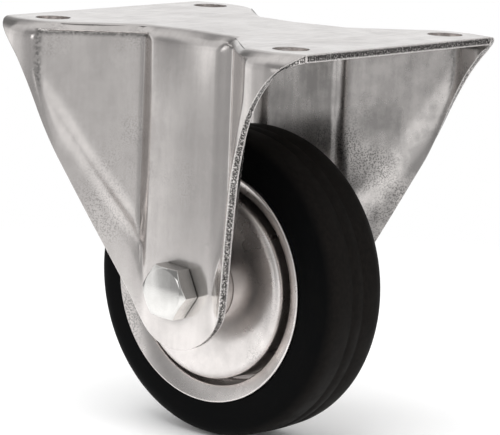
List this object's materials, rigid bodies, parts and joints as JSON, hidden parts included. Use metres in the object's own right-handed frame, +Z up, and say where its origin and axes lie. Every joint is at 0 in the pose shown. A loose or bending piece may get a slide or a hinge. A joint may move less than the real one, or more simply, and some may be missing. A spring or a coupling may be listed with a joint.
{
  "type": "fixed castor",
  "caption": "Fixed castor: pressed steel bracket with a four-hole top plate, holding a rubber-tyred wheel on a roller bearing and a through bolt.",
  "frame": {"origin": "middle of the top plate's upper face, on the axis between the four bolt holes", "axes": "+Z up out of the plate's upper face, X along the rolling direction, Y along the axle with the bolt's head on the -Y side"},
  "size_m": [0.1, 0.084, 0.1055],
  "materials": {
    "zinc_steel": "satin zinc plate, lightly mottled",
    "bolt_steel": "bright zinc plate",
    "roller_steel": "ground",
    "tyre_rubber": "matte, fine tread lines",
    "cage_plastic": "moulded",
    "washer_plastic": "moulded",
    "insert_plastic": "moulded"
  },
  "bodies": {
    "bracket": {"fork": "zinc_steel", "axle_bolt": "bolt_steel", "lock_nut": "bolt_steel", "nut_insert": "insert_plastic", "axle_tube": "zinc_steel", "end_washer_head_side": "washer_plastic", "end_washer_nut_side": "washer_plastic"},
    "wheel": {"tyre": "tyre_rubber", "rim_head_side": "zinc_steel", "rim_nut_side": "zinc_steel", "hub_tube": "zinc_steel"},
    "cage": {"roller_cage": "cage_plastic"},
    "bearing_roller_1": {"roller_1": "roller_steel"},
    "bearing_roller_2": {"roller_2": "roller_steel"},
    "bearing_roller_3": {"roller_3": "roller_steel"},
    "bearing_roller_4": {"roller_4": "roller_steel"},
    "bearing_roller_5": {"roller_5": "roller_steel"},
    "bearing_roller_6": {"roller_6": "roller_steel"},
    "bearing_roller_7": {"roller_7": "roller_steel"},
    "bearing_roller_8": {"roller_8": "roller_steel"},
    "bearing_roller_9": {"roller_9": "roller_steel"},
    "bearing_roller_10": {"roller_10": "roller_steel"}
  },
  "joints": [
    {"name": "wheel_spin", "type": "hinge", "parent": "bracket", "child": "wheel", "pos_m": [0, 0, -0.0655], "axis": [0, 1, 0], "continuous": true},
    {"name": "cage_spin", "type": "hinge", "parent": "bracket", "child": "cage", "pos_m": [0, 0, -0.0655], "axis": [0, 1, 0], "continuous": true},
    {"name": "roller_1_spin", "type": "hinge", "parent": "cage", "child": "bearing_roller_1", "pos_m": [0.00679, 0, -0.0655], "axis": [0, 1, 0], "continuous": true},
    {"name": "roller_2_spin", "type": "hinge", "parent": "cage", "child": "bearing_roller_2", "pos_m": [0.00549, 0, -0.06949], "axis": [0, 1, 0], "continuous": true},
    {"name": "roller_3_spin", "type": "hinge", "parent": "cage", "child": "bearing_roller_3", "pos_m": [0.0021, 0, -0.07196], "axis": [0, 1, 0], "continuous": true},
    {"name": "roller_4_spin", "type": "hinge", "parent": "cage", "child": "bearing_roller_4", "pos_m": [-0.0021, 0, -0.07196], "axis": [0, 1, 0], "continuous": true},
    {"name": "roller_5_spin", "type": "hinge", "parent": "cage", "child": "bearing_roller_5", "pos_m": [-0.00549, 0, -0.06949], "axis": [0, 1, 0], "continuous": true},
    {"name": "roller_6_spin", "type": "hinge", "parent": "cage", "child": "bearing_roller_6", "pos_m": [-0.00679, 0, -0.0655], "axis": [0, 1, 0], "continuous": true},
    {"name": "roller_7_spin", "type": "hinge", "parent": "cage", "child": "bearing_roller_7", "pos_m": [-0.00549, 0, -0.06151], "axis": [0, 1, 0], "continuous": true},
    {"name": "roller_8_spin", "type": "hinge", "parent": "cage", "child": "bearing_roller_8", "pos_m": [-0.0021, 0, -0.05904], "axis": [0, 1, 0], "continuous": true},
    {"name": "roller_9_spin", "type": "hinge", "parent": "cage", "child": "bearing_roller_9", "pos_m": [0.0021, 0, -0.05904], "axis": [0, 1, 0], "continuous": true},
    {"name": "roller_10_spin", "type": "hinge", "parent": "cage", "child": "bearing_roller_10", "pos_m": [0.00549, 0, -0.06151], "axis": [0, 1, 0], "continuous": true}
  ],
  "couplings": [
    {"joint": "cage_spin", "follows": "wheel_spin", "ratio": 0.59499},
    {"joint": "roller_1_spin", "follows": "wheel_spin", "ratio": 2.618},
    {"joint": "roller_2_spin", "follows": "wheel_spin", "ratio": 2.618},
    {"joint": "roller_3_spin", "follows": "wheel_spin", "ratio": 2.618},
    {"joint": "roller_4_spin", "follows": "wheel_spin", "ratio": 2.618},
    {"joint": "roller_5_spin", "follows": "wheel_spin", "ratio": 2.618},
    {"joint": "roller_6_spin", "follows": "wheel_spin", "ratio": 2.618},
    {"joint": "roller_7_spin", "follows": "wheel_spin", "ratio": 2.618},
    {"joint": "roller_8_spin", "follows": "wheel_spin", "ratio": 2.618},
    {"joint": "roller_9_spin", "follows": "wheel_spin", "ratio": 2.618},
    {"joint": "roller_10_spin", "follows": "wheel_spin", "ratio": 2.618}
  ]
}
